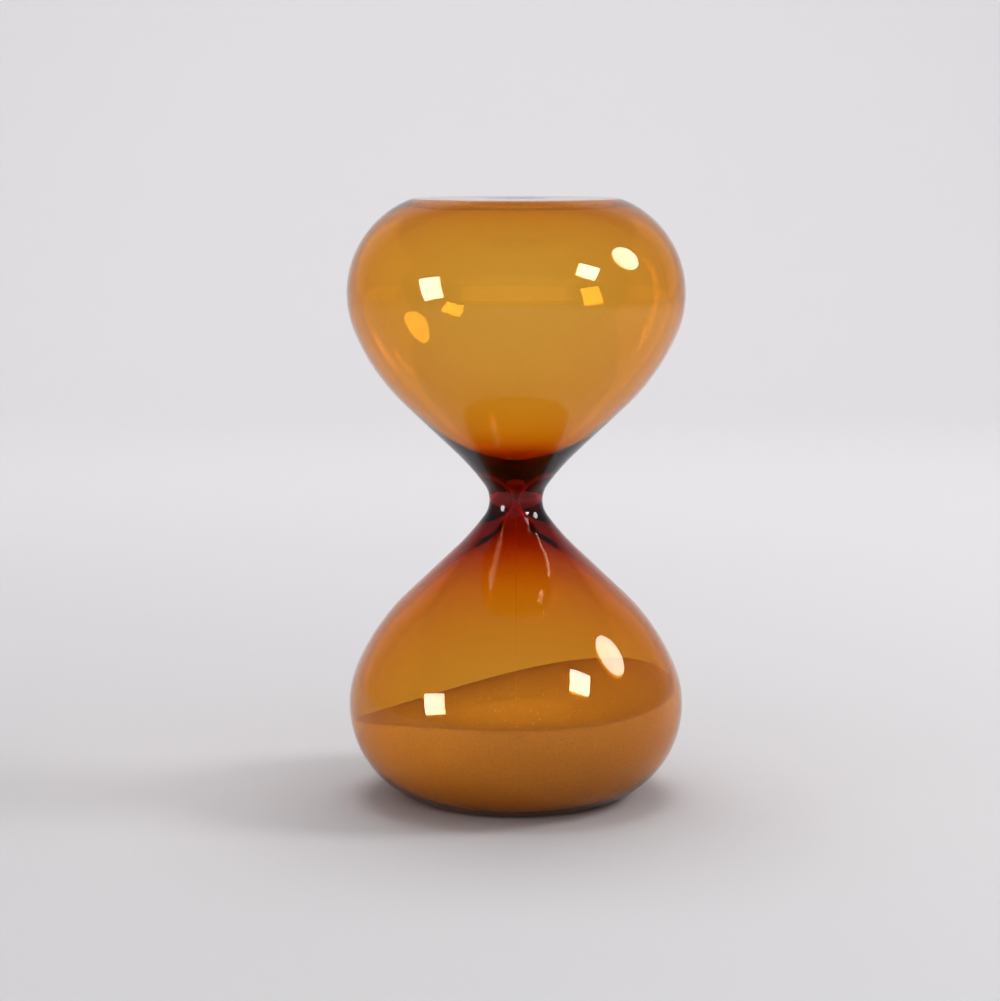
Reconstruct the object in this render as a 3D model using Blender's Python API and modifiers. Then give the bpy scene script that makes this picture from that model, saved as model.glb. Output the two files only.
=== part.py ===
"""Frameless blown-glass hourglass: two fused bulbs on a solid waist, with its sand.

Metres, +Z up. The origin is the centre of the lower flat end, where the glass
stands, and +Z is the axis on which every glass piece is turned.
"""

import math

import bmesh
import bpy

MM = 0.001

# Driving dimensions of the glass.
HEIGHT = 150.0 * MM
WAIST_RADIUS = 6.66 * MM
FILLET_RADIUS, FILLET_SWEEP = 6.6 * MM, 35.7  # sweeps in degrees
FLARE_RADIUS, FLARE_SWEEP = 58.0 * MM, 10.8
BELLY_RADIUS, BELLY_SWEEP = 53.5 * MM, 23.8
SHOULDER_RADIUS, SHOULDER_SWEEP = 24.9 * MM, 90.7
EDGE_RADIUS = 4.0 * MM

# Wall of the glass, which grows towards the waist. A reach is the path from the waist
# over which the wall thins by half, and a fall is how sharply it thins there.
BELLY_WALL = 1.0 * MM
ORIFICE_RADIUS = 0.8 * MM
UPPER_REACH, UPPER_FALL = 8.7 * MM, 3.5
LOWER_REACH, LOWER_FALL = 9.5 * MM, 2.0
INNER_EDGE_RADIUS = 4.0 * MM

# The closed flat ends.
RECESS_RADIUS = 11.0 * MM
RECESS_DEPTH = 0.3 * MM
SEAL_RADIUS = 3.0 * MM
SEAL_ROUND = 0.8  # share of the seal's radius where its outer face starts to round off
SEAL_ROUND_DEPTH = 0.1 * MM
SEAL_SIDE_DEPTH = 0.3 * MM
SEAL_CROWN = 0.3 * MM  # bulge of the seal's inner face into the hollow

# Where the waist piece ends, each way from the waist plane.
WAIST_REACH = 12.0 * MM
GAP = 0.3 * MM  # between pieces that are fused or touch

# The sand: a surface that rises to the right and is twisted lower at the back left.
SAND_CLEARANCE = 0.4 * MM
SAND_LEVEL = 22.6 * MM
SAND_RISE_RIGHT = 0.125
SAND_RISE_BACK = -0.019
SAND_TWIST = 3.1  # change of the rise to the right, per metre towards the back
SAND_BOWL = 1.0  # rise towards the glass, per square metre
SURFACE_CELLS = 12
CUTTER_HALF_SIDE = 50.0 * MM
SAND_TOP_REACH = 30.0 * MM  # under the waist plane, above all of the surface
SEAL_DENT = 1.2 * MM  # room over the seal's crown
STREAM_RADIUS = 0.35 * MM
STREAM_SIDES = 12
STREAM_SHARP = 40.0  # degrees
REMAINDER_LOW, REMAINDER_HIGH = 0.6 * MM, 6.0 * MM  # over the waist plane
REMAINDER_DENT = 0.5 * MM

SEGMENTS = 48
MID = HEIGHT / 2


def arc(points, heading, radius, sweep, steps):
    """Adds an arc that turns left by sweep degrees, or right where it is negative."""
    side = math.copysign(radius, sweep)
    start = math.radians(heading)
    r, z = points[-1]
    centre_r = r - math.sin(start) * side
    centre_z = z + math.cos(start) * side
    for k in range(1, steps + 1):
        angle = math.radians(heading + sweep * k / steps)
        points.append((centre_r + math.sin(angle) * side, centre_z - math.cos(angle) * side))
    return heading + sweep


def half_outline():
    """Outside of one bulb as (radius, height over the waist): its side, its edge, the heading."""
    side = [(WAIST_RADIUS, 0.0)]
    heading = arc(side, 90.0, FILLET_RADIUS, -FILLET_SWEEP, 4)
    heading = arc(side, heading, FLARE_RADIUS, -FLARE_SWEEP, 2)
    above = [side[-1]]
    turning = arc(above, heading, BELLY_RADIUS, BELLY_SWEEP, 4)
    turning = arc(above, turning, SHOULDER_RADIUS, 90.0 - turning, 2)
    turning = arc(above, turning, SHOULDER_RADIUS, heading + BELLY_SWEEP + SHOULDER_SWEEP - 90.0, 6)
    side_count = len(above)
    arc(above, turning, EDGE_RADIUS, 180.0 - turning, 2)
    lift = MID - above[-1][1]
    shift = lift / math.tan(math.radians(heading))
    base_r, base_z = side[-1]
    side.append((base_r + shift / 2, base_z + lift / 2))
    placed = [(r + shift, z + lift) for r, z in above]
    return side + placed[:side_count], placed[side_count:], turning


def half_hollow(side, heading, reach, fall, clearance=0.0):
    """Inside of one bulb: a wall's thickness, and a clearance, in from its side, then its flat end."""
    points = []
    path = 0.0
    last = len(side) - 1
    extra = WAIST_RADIUS - ORIFICE_RADIUS - BELLY_WALL
    for k, (r, z) in enumerate(side):
        before, after = side[max(k - 1, 0)], side[min(k + 1, last)]
        along = math.dist(before, after)
        out_r = (after[1] - before[1]) / along
        out_z = (before[0] - after[0]) / along
        if k == 0:
            out_r, out_z = 1.0, 0.0
        else:
            path += math.dist(side[k - 1], side[k])
        if k == last:
            out_r, out_z = math.sin(math.radians(heading)), -math.cos(math.radians(heading))
        wall = BELLY_WALL + extra / (1 + (path / reach) ** fall) + clearance
        points.append((r - out_r * wall, z - out_z * wall))
    arc(points, heading, INNER_EDGE_RADIUS, 180.0 - heading, 2)
    return points


def trimmed(points, low, high):
    """The stretch of a rising profile between two heights, with its ends cut to them."""
    kept = []
    for (r0, z0), (r1, z1) in zip(points, points[1:]):
        for cut in (low, high):
            if min(z0, z1) < cut < max(z0, z1):
                kept.append((r0 + (r1 - r0) * (cut - z0) / (z1 - z0), cut))
        if low <= z1 <= high:
            kept.append((r1, z1))
    if low <= points[0][1] <= high:
        kept.insert(0, points[0])
    return kept


def collection(name):
    """A new collection in the scene."""
    made = bpy.data.collections.new(name)
    bpy.context.scene.collection.children.link(made)
    return made


def material(name, colour, roughness, transmission=0.0):
    """A Principled material."""
    made = bpy.data.materials.new(name)
    made.use_nodes = True
    shader = made.node_tree.nodes["Principled BSDF"]
    shader.inputs["Base Color"].default_value = (*colour, 1.0)
    shader.inputs["Roughness"].default_value = roughness
    shader.inputs["Metallic"].default_value = 0.0
    shader.inputs["Transmission Weight"].default_value = transmission
    return made


def add_object(name, mesh, into, finish=None):
    """An object in a collection, with its material."""
    made = bpy.data.objects.new(name, mesh)
    into.objects.link(made)
    if finish:
        mesh.materials.append(finish)
    return made


def turned(name, profile, into, finish, closed=True):
    """A solid turned about Z from a profile that runs down its outer side."""
    count = len(profile)
    edges = [(k, (k + 1) % count) for k in range(count if closed else count - 1)]
    mesh = bpy.data.meshes.new(name)
    mesh.from_pydata([(r, 0.0, z) for r, z in profile], edges, [])
    made = add_object(name, mesh, into, finish)
    screw = made.modifiers.new("turn", "SCREW")
    screw.axis = "Z"
    screw.steps = SEGMENTS
    screw.render_steps = SEGMENTS
    screw.use_merge_vertices = True
    screw.merge_threshold = 0.00002
    screw.use_smooth_shade = True
    return made


def bulb_profile(outline, hollow):
    """Closed profile of one bulb off the waist plane: its outside, its dished end and its inside."""
    low = WAIST_REACH + GAP / 2
    outside = trimmed(outline, low, MID)
    inside = trimmed(hollow, low, MID)
    hole = SEAL_RADIUS + GAP
    end = [(hole, MID - RECESS_DEPTH), (RECESS_RADIUS, MID)]
    return end + outside[::-1] + inside + [(hole, inside[-1][1])]


def build_bulbs(outline, hollows, into, finish):
    """The two blown bulbs, each open at its neck and at its seal's hole."""
    upper, lower = [bulb_profile(outline, hollow) for hollow in hollows]
    turned("upper_bulb", [(r, MID + z) for r, z in upper], into, finish)
    turned("lower_bulb", [(r, MID - z) for r, z in reversed(lower)], into, finish)


def build_waist(outline, hollows, into, finish):
    """The thick fused neck with its orifice."""
    reach = WAIST_REACH - GAP / 2
    outside = trimmed(outline, 0.0, reach)
    upper, lower = [trimmed(hollow, 0.0, reach) for hollow in hollows]
    down_outside = outside[:0:-1] + [(r, -z) for r, z in outside]
    up_inside = [(r, -z) for r, z in lower[:0:-1]] + upper
    turned("waist", [(r, MID + z) for r, z in down_outside + up_inside], into, finish)


def build_seals(inner_face, into, finish):
    """The fused buttons that close the flat ends once the sand is in."""
    outer_face = MID - RECESS_DEPTH
    profile = [
        (0.0, outer_face),
        (SEAL_RADIUS * SEAL_ROUND, outer_face - SEAL_ROUND_DEPTH),
        (SEAL_RADIUS, outer_face - SEAL_SIDE_DEPTH),
        (SEAL_RADIUS, inner_face),
        (0.0, inner_face - SEAL_CROWN),
    ]
    turned("upper_seal", [(r, MID + z) for r, z in profile], into, finish, closed=False)
    lower = [(r, MID - z) for r, z in reversed(profile)]
    turned("lower_seal", lower, into, finish, closed=False)


def sand_height(x, y):
    """Height of the sand's surface over a place on the base."""
    tilt = SAND_RISE_RIGHT * x + SAND_RISE_BACK * y + SAND_TWIST * x * y
    return SAND_LEVEL + tilt + SAND_BOWL * (x * x + y * y)


def surface_cutter(into):
    """Everything above the sand's surface, as a block with that surface underneath."""
    mesh = bpy.data.meshes.new("above_sand")
    work = bmesh.new()
    bmesh.ops.create_grid(
        work,
        x_segments=SURFACE_CELLS,
        y_segments=SURFACE_CELLS,
        size=CUTTER_HALF_SIDE,
    )
    grown = bmesh.ops.extrude_face_region(work, geom=work.faces[:])
    raised = {v for v in grown["geom"] if isinstance(v, bmesh.types.BMVert)}
    for vertex in work.verts:
        x, y, _ = vertex.co
        vertex.co.z = MID if vertex in raised else sand_height(x, y)
    bmesh.ops.recalc_face_normals(work, faces=work.faces[:])
    work.to_mesh(mesh)
    work.free()
    made = add_object("above_sand", mesh, into)
    made.hide_render = True
    made.display_type = "WIRE"
    return made


def build_sand_bed(hollow, into, helpers, finish):
    """The sand in the lower bulb: the hollow's shape, cut off at the sand's surface."""
    wall_side = [(r, MID - z) for r, z in trimmed(hollow, SAND_TOP_REACH, MID)]
    floor = wall_side[-1][1]
    dent = [(SEAL_RADIUS + SEAL_DENT, floor), (0.0, floor + SEAL_DENT)]
    profile = [(0.0, wall_side[0][1])] + wall_side + dent
    bed = turned("sand_bed", profile, into, finish, closed=False)
    cut = bed.modifiers.new("surface", "BOOLEAN")
    cut.operation = "DIFFERENCE"
    cut.object = surface_cutter(helpers)


def build_stream(into, finish):
    """The thread of falling sand, from inside the orifice to just over the bed."""
    low = sand_height(0.0, 0.0) + GAP
    high = MID
    mesh = bpy.data.meshes.new("falling_sand")
    work = bmesh.new()
    bmesh.ops.create_cone(
        work,
        cap_ends=True,
        segments=STREAM_SIDES,
        radius1=STREAM_RADIUS,
        radius2=STREAM_RADIUS,
        depth=high - low,
    )
    work.to_mesh(mesh)
    work.free()
    mesh.shade_smooth()
    mesh.set_sharp_from_angle(angle=math.radians(STREAM_SHARP))
    made = add_object("falling_sand", mesh, into, finish)
    made.location.z = (high + low) / 2


def build_remainder(hollow, into, finish):
    """The last of the upper bulb's sand, a plug in the funnel over the orifice."""
    side = trimmed(hollow, REMAINDER_LOW, REMAINDER_HIGH)
    top, bottom = REMAINDER_HIGH - REMAINDER_DENT, REMAINDER_LOW
    profile = [(0.0, top)] + side[::-1] + [(0.0, bottom)]
    turned("sand_remainder", [(r, MID + z) for r, z in profile], into, finish, closed=False)


def main():
    for old in list(bpy.data.objects):
        bpy.data.objects.remove(old)
    parts = collection("hourglass")
    helpers = collection("cutters")
    glass = [
        material(name, colour, 0.05, transmission=0.9)
        for name, colour in (
            ("amber_bulb_glass", (0.57, 0.26, 0.03)),
            ("amber_waist_glass", (0.09, 0.01, 0.004)),
            ("amber_seal_glass", (0.45, 0.18, 0.02)),
        )
    ]
    sand = material("white_sand", (0.82, 0.79, 0.74), 0.9)
    side, edge, heading = half_outline()
    upper = half_hollow(side, heading, UPPER_REACH, UPPER_FALL)
    lower = half_hollow(side, heading, LOWER_REACH, LOWER_FALL)
    upper_clear = half_hollow(side, heading, UPPER_REACH, UPPER_FALL, SAND_CLEARANCE)
    lower_clear = half_hollow(side, heading, LOWER_REACH, LOWER_FALL, SAND_CLEARANCE)
    build_bulbs(side + edge, (upper, lower), parts, glass[0])
    build_waist(side + edge, (upper, lower), parts, glass[1])
    build_seals(upper[-1][1], parts, glass[2])
    build_sand_bed(lower_clear, parts, helpers, sand)
    build_stream(parts, sand)
    build_remainder(upper_clear, parts, sand)


main()
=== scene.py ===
"""Looks of the frameless blown-glass hourglass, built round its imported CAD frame.

Metres, +Z up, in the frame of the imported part: the glass stands on z = 0 and every glass
surface is turned about the Z axis.
"""

import math
import random

import bpy
from mathutils import Matrix, Vector


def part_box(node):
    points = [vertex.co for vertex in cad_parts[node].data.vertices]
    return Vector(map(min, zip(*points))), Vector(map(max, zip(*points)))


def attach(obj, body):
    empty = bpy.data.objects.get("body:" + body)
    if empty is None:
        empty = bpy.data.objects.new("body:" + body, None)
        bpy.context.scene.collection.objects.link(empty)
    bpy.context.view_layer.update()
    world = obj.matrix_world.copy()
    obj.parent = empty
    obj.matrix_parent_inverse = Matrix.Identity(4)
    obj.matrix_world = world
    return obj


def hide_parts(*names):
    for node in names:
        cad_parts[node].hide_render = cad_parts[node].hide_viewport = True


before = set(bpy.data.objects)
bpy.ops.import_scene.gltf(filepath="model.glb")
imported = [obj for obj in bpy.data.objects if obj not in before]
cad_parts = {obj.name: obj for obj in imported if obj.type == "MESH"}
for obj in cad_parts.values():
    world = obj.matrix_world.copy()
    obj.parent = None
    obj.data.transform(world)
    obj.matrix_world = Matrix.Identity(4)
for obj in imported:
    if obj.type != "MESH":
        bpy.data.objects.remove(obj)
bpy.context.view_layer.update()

MM = 0.001
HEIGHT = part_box("upper_bulb")[1].z
MID = HEIGHT / 2

# Outside of the glass, as in the part's source.
WAIST_RADIUS = 6.66 * MM
FILLET_RADIUS, FILLET_SWEEP = 6.6 * MM, 35.7
FLARE_RADIUS, FLARE_SWEEP = 58.0 * MM, 10.8
BELLY_RADIUS, BELLY_SWEEP = 53.5 * MM, 23.8
SHOULDER_RADIUS, SHOULDER_SWEEP = 24.9 * MM, 90.7
EDGE_RADIUS = 4.0 * MM
RECESS_RADIUS = 11.0 * MM
RECESS_DEPTH = 0.3 * MM
SEAL_RADIUS = 3.0 * MM

# Wall of the glass, which grows towards the waist and the flat ends.
BELLY_WALL = 0.8 * MM
ORIFICE_RADIUS = 0.8 * MM
UPPER_REACH, UPPER_FALL = 8.7 * MM, 3.5
LOWER_REACH, LOWER_FALL = 9.5 * MM, 2.0
END_EXTRA = 0.2 * MM
END_START = 0.8
INNER_EDGE_RADIUS = 6.0 * MM

# Light lost per metre of amber glass.
LOSS_RED, LOSS_GREEN, LOSS_BLUE = 137.0, 555.0, 1930.0

# The sand's surface, as in the part's source, with a low mound under the falling thread.
SAND_LEVEL = 22.6 * MM
SAND_RISE_RIGHT = 0.125
SAND_RISE_BACK = -0.019
SAND_TWIST = 3.1
SAND_BOWL = 1.0
MOUND_HEIGHT, MOUND_SPREAD = 1.5 * MM, 6.0 * MM
SAND_TO_GLASS = 0.15 * MM
REMAINDER_TO_GLASS = 0.1 * MM

TURN_STEPS = 160
SHORE_ROUNDS = 40
SAND_SPOKES, SAND_TOP_RINGS, SAND_SIDE_RINGS = 180, 70, 40

# Grains, as size, and as count and range of half-sizes.
GRAIN = 0.22 * MM
ON_SAND_COUNT, ON_SAND_SIZES = 150, (0.09 * MM, 0.2 * MM)
AT_GLASS_COUNT, AT_GLASS_SIZES = 150, (0.09 * MM, 0.17 * MM)
CLINGING_COUNT, CLINGING_SIZES = 60, (0.05 * MM, 0.12 * MM)
FALLING_COUNT, FALLING_SIZES = 600, (0.05 * MM, 0.11 * MM)

# The camera, from the middle of the waist.
CAMERA_DISTANCE = 0.685
CAMERA_PITCH = math.radians(7.76)
CAMERA_LENS, CAMERA_SENSOR = 98.5, 36.0
AIM_LEFT, AIM_DOWN = 4.0 * MM, 0.22 * MM

# Light on the sweep and in the room.
PAPER_COLOUR = (0.68, 0.668, 0.68, 1.0)
ROOM_COLOUR = (0.295, 0.295, 0.302, 1.0)


def arc(points, heading, radius, sweep, steps):
    """Adds an arc that turns left by sweep degrees, or right where it is negative."""
    side = math.copysign(radius, sweep)
    start = math.radians(heading)
    r, z = points[-1]
    centre_r = r - math.sin(start) * side
    centre_z = z + math.cos(start) * side
    for k in range(1, steps + 1):
        angle = math.radians(heading + sweep * k / steps)
        points.append((centre_r + math.sin(angle) * side, centre_z - math.cos(angle) * side))
    return heading + sweep


def half_outline():
    """Outside of one bulb as (radius, height over the waist), from waist to shoulder, then its edge."""
    points = [(WAIST_RADIUS, 0.0)]
    heading = arc(points, 90.0, FILLET_RADIUS, -FILLET_SWEEP, 18)
    heading = arc(points, heading, FLARE_RADIUS, -FLARE_SWEEP, 8)
    above = [points[-1]]
    turned = arc(above, heading, BELLY_RADIUS, BELLY_SWEEP, 12)
    turned = arc(above, turned, SHOULDER_RADIUS, SHOULDER_SWEEP, 32)
    shoulder_end = len(above)
    arc(above, turned, EDGE_RADIUS, 180.0 - turned, 8)
    lift = MID - above[-1][1]
    shift = lift / math.tan(math.radians(heading))
    base_r, base_z = points[-1]
    steps = 12
    for k in range(1, steps):
        points.append((base_r + shift * k / steps, base_z + lift * k / steps))
    placed = [(r + shift, z + lift) for r, z in above]
    return points + placed[:shoulder_end], placed[shoulder_end:], turned


def half_hollow(side, heading, reach, fall, clearance=0.0):
    """Inside of one bulb: a wall's thickness, and a clearance, in from its side, then its flat end."""
    points = []
    lengths = [0.0]
    for here, following in zip(side, side[1:]):
        lengths.append(lengths[-1] + math.dist(here, following))
    last = len(side) - 1
    extra = WAIST_RADIUS - ORIFICE_RADIUS - BELLY_WALL
    for k, (r, z) in enumerate(side):
        before, after = side[max(k - 1, 0)], side[min(k + 1, last)]
        along = math.dist(before, after)
        out_r = (after[1] - before[1]) / along
        out_z = (before[0] - after[0]) / along
        if k == 0:
            out_r, out_z = 1.0, 0.0
        late = max(0.0, (lengths[k] / lengths[-1] - END_START) / (1 - END_START))
        wall = BELLY_WALL + extra / (1 + (lengths[k] / reach) ** fall) + END_EXTRA * late**2
        wall += clearance
        points.append((r - out_r * wall, z - out_z * wall))
    arc(points, heading, INNER_EDGE_RADIUS, 180.0 - heading, 8)
    return points


SIDE, EDGE, SIDE_HEADING = half_outline()
OUTLINE = SIDE + EDGE
UPPER_HOLLOW = half_hollow(SIDE, SIDE_HEADING, UPPER_REACH, UPPER_FALL)
LOWER_HOLLOW = half_hollow(SIDE, SIDE_HEADING, LOWER_REACH, LOWER_FALL)
SAND_WALL = [
    (r, MID - z)
    for r, z in half_hollow(SIDE, SIDE_HEADING, LOWER_REACH, LOWER_FALL, SAND_TO_GLASS)
]


def turned_shells(name, shells):
    """A mesh of shells turned about Z. Each runs from axis to axis, with its outer side on the left."""
    vertices = []
    faces = []
    for profile in shells:
        rings = []
        for r, z in profile:
            first = len(vertices)
            if r < 1e-6:
                vertices.append((0.0, 0.0, z))
                rings.append([first] * TURN_STEPS)
                continue
            for k in range(TURN_STEPS):
                angle = 2 * math.pi * k / TURN_STEPS
                vertices.append((r * math.cos(angle), r * math.sin(angle), z))
            rings.append(list(range(first, first + TURN_STEPS)))
        for upper, lower in zip(rings, rings[1:]):
            for k in range(TURN_STEPS):
                n = (k + 1) % TURN_STEPS
                corners = [upper[k], lower[k], lower[n], upper[n]]
                faces.append(tuple(dict.fromkeys(corners)))
    return add_mesh(name, vertices, faces)


def add_mesh(name, vertices, faces):
    """A smooth-shaded object from vertices and faces."""
    mesh = bpy.data.meshes.new(name)
    mesh.from_pydata(vertices, [], faces)
    mesh.shade_smooth()
    made = bpy.data.objects.new(name, mesh)
    bpy.context.scene.collection.objects.link(made)
    return made


def new_material(name):
    """A material with its tree and its Principled shader."""
    made = bpy.data.materials.new(name)
    made.use_nodes = True
    tree = made.node_tree
    return made, tree, tree.nodes["Principled BSDF"]


def noise(tree, scale, detail=2.0, roughness=0.5):
    """A noise texture in the piece's own metres."""
    place = tree.nodes.new("ShaderNodeTexCoord")
    made = tree.nodes.new("ShaderNodeTexNoise")
    made.inputs["Scale"].default_value = scale
    made.inputs["Detail"].default_value = detail
    made.inputs["Roughness"].default_value = roughness
    tree.links.new(place.outputs["Object"], made.inputs["Vector"])
    return made


def cells(tree, scale):
    """A Voronoi texture in the piece's own metres."""
    place = tree.nodes.new("ShaderNodeTexCoord")
    made = tree.nodes.new("ShaderNodeTexVoronoi")
    made.inputs["Scale"].default_value = scale
    tree.links.new(place.outputs["Object"], made.inputs["Vector"])
    return made


def ramp(tree, source, stops):
    """A colour ramp of (position, colour) stops driven by a texture output."""
    made = tree.nodes.new("ShaderNodeValToRGB")
    band = made.color_ramp
    while len(band.elements) < len(stops):
        band.elements.new(0.5)
    for element, (position, colour) in zip(band.elements, stops):
        element.position = position
        element.color = (*colour, 1.0)
    tree.links.new(source, made.inputs["Fac"])
    return made


def bump(tree, shader, source, distance, strength=1.0):
    """A bump on the shader's normal."""
    made = tree.nodes.new("ShaderNodeBump")
    made.inputs["Distance"].default_value = distance
    made.inputs["Strength"].default_value = strength
    tree.links.new(source, made.inputs["Height"])
    tree.links.new(made.outputs["Normal"], shader.inputs["Normal"])


def amber_glass():
    """Clear amber glass that loses light with depth, faintly wavy as blown glass is."""
    made, tree, shader = new_material("amber_glass")
    shader.inputs["Base Color"].default_value = (1.0, 1.0, 1.0, 1.0)
    shader.inputs["Roughness"].default_value = 0.0
    shader.inputs["IOR"].default_value = 1.47
    shader.inputs["Transmission Weight"].default_value = 1.0
    loss = tree.nodes.new("ShaderNodeVolumeAbsorption")
    density = max(LOSS_RED, LOSS_GREEN, LOSS_BLUE) / 0.98
    kept = [1 - part / density for part in (LOSS_RED, LOSS_GREEN, LOSS_BLUE)]
    loss.inputs["Density"].default_value = density
    loss.inputs["Color"].default_value = (*kept, 1.0)
    tree.links.new(loss.outputs["Volume"], tree.nodes["Material Output"].inputs["Volume"])
    bump(tree, shader, noise(tree, 60.0, 1.0).outputs["Fac"], 0.03 * MM)
    return made


def pale_sand():
    """Fine pale sand: warm grains of several tones over a slightly mottled bed."""
    made, tree, shader = new_material("pale_sand")
    grains = cells(tree, 1 / GRAIN)
    tones = ramp(
        tree,
        grains.outputs["Color"],
        [
            (0.0, (0.72, 0.57, 0.36)),
            (0.25, (0.92, 0.78, 0.56)),
            (0.8, (0.96, 0.85, 0.66)),
            (1.0, (1.0, 0.98, 0.92)),
        ],
    )
    tree.links.new(tones.outputs["Color"], shader.inputs["Base Color"])
    shader.inputs["Roughness"].default_value = 0.85
    bump(tree, shader, grains.outputs["Distance"], 0.05 * MM)
    return made


def crystal_with_painted_glint():
    """Clean glassy grains with a painted glint: a faint warm glow adds to the light they catch."""
    made, tree, shader = new_material("crystal_with_painted_glint")
    tones = ramp(
        tree,
        cells(tree, 900.0).outputs["Color"],
        [(0.0, (0.90, 0.82, 0.66)), (1.0, (1.0, 0.98, 0.94))],
    )
    tree.links.new(tones.outputs["Color"], shader.inputs["Base Color"])
    shader.inputs["Roughness"].default_value = 0.15
    shader.inputs["Specular IOR Level"].default_value = 1.0
    # Painted glint: a faint warm glow, though the grains are no lamp.
    shader.inputs["Emission Color"].default_value = (1.0, 0.88, 0.62, 1.0)
    shader.inputs["Emission Strength"].default_value = 0.7
    return made


def mirrored(profile, sign):
    """A half profile put at its height, over the waist plane or under it."""
    return [(r, MID + sign * z) for r, z in profile]


def build_glass(finish):
    """The whole blown-glass body: one skin outside and one round the hollow."""
    dish = [
        (RECESS_RADIUS, MID),
        (RECESS_RADIUS * 0.82, MID - RECESS_DEPTH * 0.15),
        (SEAL_RADIUS * 1.7, MID - RECESS_DEPTH * 0.8),
        (SEAL_RADIUS, MID - RECESS_DEPTH),
        (0.0, MID - RECESS_DEPTH),
    ]
    outside = OUTLINE + dish
    outside = mirrored(outside[::-1], 1) + mirrored(outside[1:], -1)
    hollow = []
    for half, sign in ((UPPER_HOLLOW, 1), (LOWER_HOLLOW, -1)):
        end = half[-1][1]
        hollow.append(mirrored(half + [(RECESS_RADIUS, end), (0.0, end - 0.2 * MM)], sign))
    inside = hollow[1][::-1] + hollow[0][1:]
    glass = turned_shells("blown_glass", [outside, inside])
    glass.data.materials.append(finish)
    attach(glass, "glass")
    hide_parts("lower_bulb", "upper_bulb", "waist", "lower_seal", "upper_seal")


def sand_height(x, y):
    """Height of the sand's surface, with its mound."""
    tilt = SAND_RISE_RIGHT * x + SAND_RISE_BACK * y + SAND_TWIST * x * y
    bowl = SAND_BOWL * (x * x + y * y)
    mound = MOUND_HEIGHT * math.exp(-(x * x + y * y) / (2 * MOUND_SPREAD**2))
    return SAND_LEVEL + tilt + bowl + mound


def wall_radius(z):
    """Radius of the sand's side at a height, from the hollow's profile."""
    for (r0, z0), (r1, z1) in zip(SAND_WALL, SAND_WALL[1:]):
        if min(z0, z1) <= z <= max(z0, z1) and z0 != z1:
            return r0 + (r1 - r0) * (z - z0) / (z1 - z0)
    return SAND_WALL[-1][0]


def shore(angle):
    """Where the sand's surface meets the glass in one direction, as (radius, height)."""
    c, s = math.cos(angle), math.sin(angle)
    radius = 38.0 * MM
    for _ in range(SHORE_ROUNDS):
        radius = (radius + wall_radius(sand_height(radius * c, radius * s))) / 2
    return radius, sand_height(radius * c, radius * s)


def build_sand(finish):
    """The sand bed: a surface out to the glass, then down the glass to the middle of the floor."""
    spokes, top_rings, side_rings = SAND_SPOKES, SAND_TOP_RINGS, SAND_SIDE_RINGS
    floor = SAND_WALL[-1][1]
    vertices = [(0.0, 0.0, sand_height(0.0, 0.0))]
    shores = [shore(2 * math.pi * k / spokes) for k in range(spokes)]
    for ring in range(1, top_rings + side_rings + 1):
        for k, (edge, edge_z) in enumerate(shores):
            angle = 2 * math.pi * k / spokes
            c, s = math.cos(angle), math.sin(angle)
            if ring <= top_rings:
                r = edge * ring / top_rings
                z = sand_height(r * c, r * s)
            else:
                down = (ring - top_rings) / side_rings
                z = edge_z + (floor - edge_z) * down
                r = wall_radius(z)
            vertices.append((r * c, r * s, z))
    vertices.append((0.0, 0.0, floor))
    last = len(vertices) - 1
    faces = []
    for k in range(spokes):
        n = (k + 1) % spokes
        faces.append((0, 1 + k, 1 + n))
        for ring in range(top_rings + side_rings - 1):
            inner, outer = 1 + ring * spokes, 1 + (ring + 1) * spokes
            faces.append((inner + k, outer + k, outer + n, inner + n))
        faces.append((last - spokes + k, last, last - spokes + n))
    sand = add_mesh("sand_heap", vertices, faces)
    sand.data.materials.append(finish)
    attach(sand, "sand")
    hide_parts("sand_bed")


def crystals(name, places, chance):
    """Small tumbled octahedral grains at the given (place, size)s, as one mesh."""
    vertices = []
    faces = []
    for place, size in places:
        turn = Matrix.Rotation(chance.uniform(0, math.pi), 3, Vector((
            chance.uniform(-1, 1),
            chance.uniform(-1, 1),
            chance.uniform(0.1, 1),
        )).normalized())
        first = len(vertices)
        for axis in range(3):
            for sign in (1, -1):
                corner = [0.0, 0.0, 0.0]
                corner[axis] = sign * size * chance.uniform(0.7, 1.0)
                vertices.append(Vector(place) + turn @ Vector(corner))
        for x in (0, 1):
            for y in (2, 3):
                for z in (4, 5):
                    face = (first + x, first + y, first + z)
                    faces.append(face if (x + y + z) % 2 == 0 else face[::-1])
    made = add_mesh(name, vertices, faces)
    made.data.shade_flat()
    return made


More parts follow.
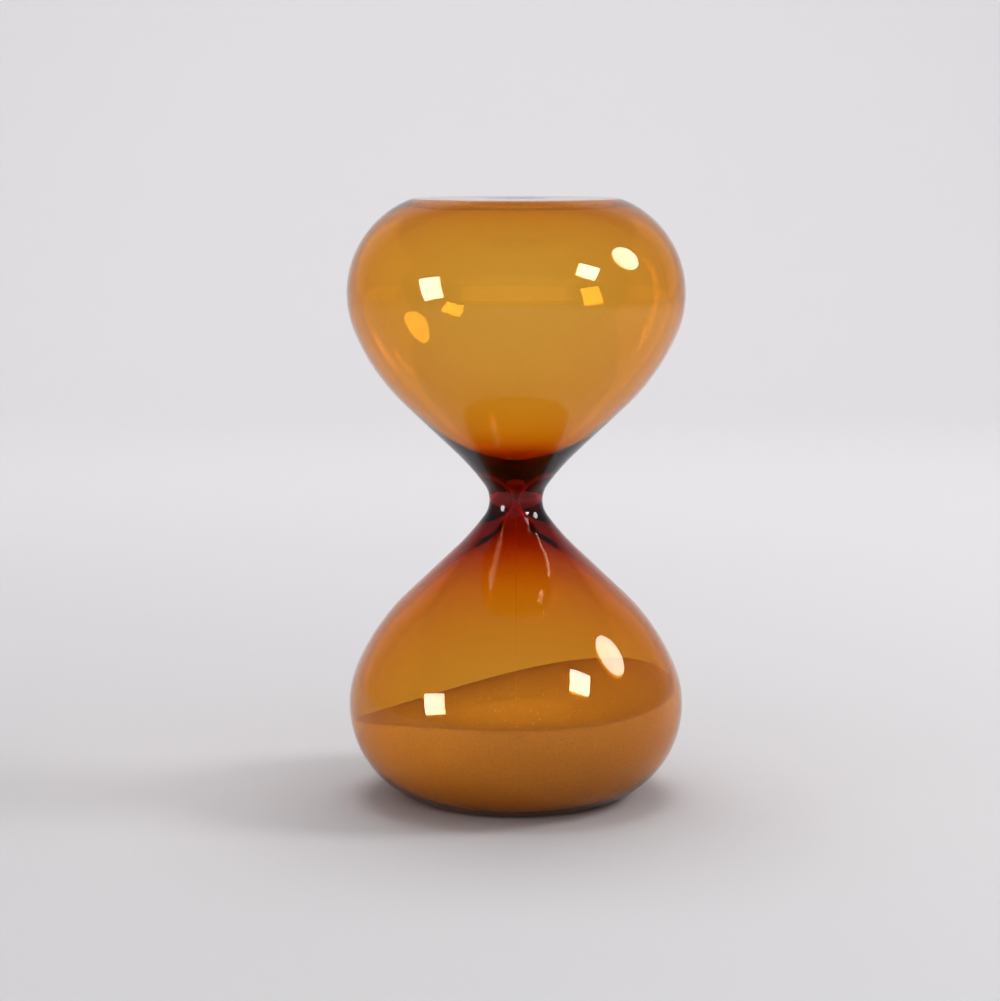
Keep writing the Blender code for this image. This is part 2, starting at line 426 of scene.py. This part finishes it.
def build_bright_grains(finish):
    """Grains that glint, partly by real reflection and partly by a painted glint from a faint glow: some
    on the sand, some clinging to the glass over it.
    """
    chance = random.Random(7)
    on_sand = []
    for _ in range(ON_SAND_COUNT):
        angle = chance.uniform(0, 2 * math.pi)
        edge, _ = shore(angle)
        r = edge * math.sqrt(chance.uniform(0, 0.97))
        x, y = r * math.cos(angle), r * math.sin(angle)
        on_sand.append(((x, y, sand_height(x, y) + 0.05 * MM), chance.uniform(*ON_SAND_SIZES)))
    for _ in range(AT_GLASS_COUNT):
        angle = chance.uniform(0, 2 * math.pi)
        z = SAND_LEVEL * chance.uniform(0.12, 1.05)
        if z > shore(angle)[1]:
            continue
        r = wall_radius(z)
        place = (r * math.cos(angle), r * math.sin(angle), z)
        on_sand.append((place, chance.uniform(*AT_GLASS_SIZES)))
    grains = crystals("bright_grains", on_sand, chance)
    grains.data.materials.append(finish)
    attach(grains, "sand")
    clinging = []
    highest = max(shore(math.radians(angle))[1] for angle in range(0, 360, 5))
    for _ in range(CLINGING_COUNT):
        angle = chance.uniform(0, 2 * math.pi)
        z = chance.uniform(highest + 0.6 * MM, MID - 14 * MM)
        r = wall_radius(z)
        place = (r * math.cos(angle), r * math.sin(angle), z)
        clinging.append((place, chance.uniform(*CLINGING_SIZES)))
    stuck = crystals("clinging_grains", clinging, chance)
    stuck.data.materials.append(finish)
    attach(stuck, "glass")


def build_thread(finish):
    """The falling sand: loose grains from the orifice down to the mound, evenly spread."""
    low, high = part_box("falling_sand")
    radius = (high.x - low.x) / 2
    chance = random.Random(11)
    fall = high.z - low.z
    grains = []
    for _ in range(FALLING_COUNT):
        z = high.z - fall * chance.uniform(0.0, 1.0)
        angle = chance.uniform(0, 2 * math.pi)
        r = radius * chance.uniform(0.0, 0.7)
        place = (r * math.cos(angle), r * math.sin(angle), z)
        grains.append((place, chance.uniform(*FALLING_SIZES)))
    thread = crystals("sand_thread", grains, chance)
    thread.data.materials.append(finish)
    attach(thread, "sand")
    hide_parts("falling_sand")


def build_remainder(finish):
    """The last sand in the funnel over the orifice."""
    low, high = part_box("sand_remainder")
    bottom = low.z - MID
    top = high.z - MID
    clear = half_hollow(SIDE, SIDE_HEADING, UPPER_REACH, UPPER_FALL, REMAINDER_TO_GLASS)
    side = [(r, MID + z) for r, z in clear if bottom <= z <= top]
    profile = [(0.0, high.z)] + side[::-1] + [(0.0, low.z)]
    plug = turned_shells("funnel_sand", [profile])
    plug.data.materials.append(finish)
    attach(plug, "sand")
    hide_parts("sand_remainder")


def build_sweep():
    """A pale paper sweep: floor, curve and back."""
    half_width, front, back, bend, top = 2.4, -3.0, 0.9, 0.6, 2.6
    profile = [(front, 0.0)]
    for k in range(13):
        angle = math.radians(90 * k / 12)
        profile.append((back + bend * math.sin(angle), bend - bend * math.cos(angle)))
    profile.append((back + bend, top))
    vertices = [(x, y, z) for y, z in profile for x in (-half_width, half_width)]
    faces = [(2 * k, 2 * k + 1, 2 * k + 3, 2 * k + 2) for k in range(len(profile) - 1)]
    sweep = add_mesh("paper_sweep", vertices, faces)
    made, tree, shader = new_material("pale_paper")
    shader.inputs["Base Color"].default_value = PAPER_COLOUR
    shader.inputs["Roughness"].default_value = 0.9
    sweep.data.materials.append(made)


def add_light(name, place, aim, size, power, roll=0.0, disk=False, seen=True, lights=True,
              through=False):
    """An area light turned to its aim and rolled about it.

    A fill isn't seen in the glass, though it may reach through it. A softbox is seen there
    and lights nothing else.
    """
    light = bpy.data.lights.new(name, "AREA")
    light.shape = "ELLIPSE" if disk else "RECTANGLE"
    light.size, light.size_y = size
    light.energy = power
    made = bpy.data.objects.new(name, light)
    bpy.context.scene.collection.objects.link(made)
    ahead = (Vector(aim) - Vector(place)).normalized()
    across = ahead.cross(Vector((0.0, 0.0, 1.0))).normalized()
    above = across.cross(ahead)
    c, s = math.cos(math.radians(roll)), math.sin(math.radians(roll))
    turned = Matrix((c * across + s * above, c * above - s * across, -ahead)).transposed()
    made.matrix_world = Matrix.LocRotScale(Vector(place), turned, None)
    made.visible_glossy = seen
    made.visible_transmission = seen or through
    made.visible_diffuse = lights


def light_room():
    """Two softboxes and a round lamp mirrored in the glass, four fills, pale walls, a grey room."""
    waist = Vector((0.0, 0.0, MID))
    left, right, lamp = (-0.673, -0.413, 0.181), (0.429, -0.349, 0.322), (0.755, 0.0, 0.491)
    add_light("left_softbox", waist + Vector(left), waist, (0.215, 0.29), 2.8, roll=19.0, lights=False)
    add_light("right_softbox", waist + Vector(right), waist, (0.155, 0.14), 1.1, roll=-33.0, lights=False)
    add_light("right_lamp", waist + Vector(lamp), waist, (0.30, 0.30), 2.2, disk=True)
    add_light("floor_fill", (0.0, 0.4, 1.875), (0.0, 0.5, 0.0), (1.2, 1.2), 15.0, seen=False)
    add_light("back_fill", (0.0, 0.45, 0.9), (0.0, 1.5, 0.45), (3.4, 0.9), 5.0, seen=False)
    add_light("low_back_fill", (0.0, 0.5, 0.5), (0.0, 1.5, 0.25), (2.0, 0.3), 0.4, seen=False)
    add_light("front_fill", (0.0, -1.0, 0.35), (0.0, 0.0, 0.05), (1.6, 0.5), 2.5, seen=False,
              through=True)
    for side in (-1, 1):
        add_light("side_wall", (1.3 * side, 0.75, 0.5), (0.0, 0.0, MID), (2.0, 1.2), 5.5, seen=False,
                  lights=False, through=True)
    world = bpy.data.worlds.new("room")
    bpy.context.scene.world = world
    world.use_nodes = True
    world.node_tree.nodes["Background"].inputs["Color"].default_value = ROOM_COLOUR


def add_camera():
    """A long lens a little over the glass, with the axis just right of the middle."""
    data = bpy.data.cameras.new("camera")
    data.sensor_width = CAMERA_SENSOR
    data.lens = CAMERA_LENS
    made = bpy.data.objects.new("camera", data)
    bpy.context.scene.collection.objects.link(made)
    bpy.context.scene.camera = made
    right = Vector((1.0, 0.0, 0.0))
    forward = Vector((0.0, math.cos(CAMERA_PITCH), -math.sin(CAMERA_PITCH)))
    up = right.cross(forward)
    aim = Vector((0.0, 0.0, MID)) - AIM_LEFT * right - AIM_DOWN * up
    place = aim - forward * CAMERA_DISTANCE
    made.matrix_world = Matrix.LocRotScale(place, forward.to_track_quat("-Z", "Y"), None)


def main():
    sand = pale_sand()
    crystal = crystal_with_painted_glint()
    build_glass(amber_glass())
    build_sand(sand)
    build_thread(sand)
    build_remainder(sand)
    build_bright_grains(crystal)
    build_sweep()
    light_room()
    add_camera()
    bpy.context.scene.view_settings.view_transform = "Standard"
    bpy.context.scene.view_settings.look = "Medium High Contrast"


main()
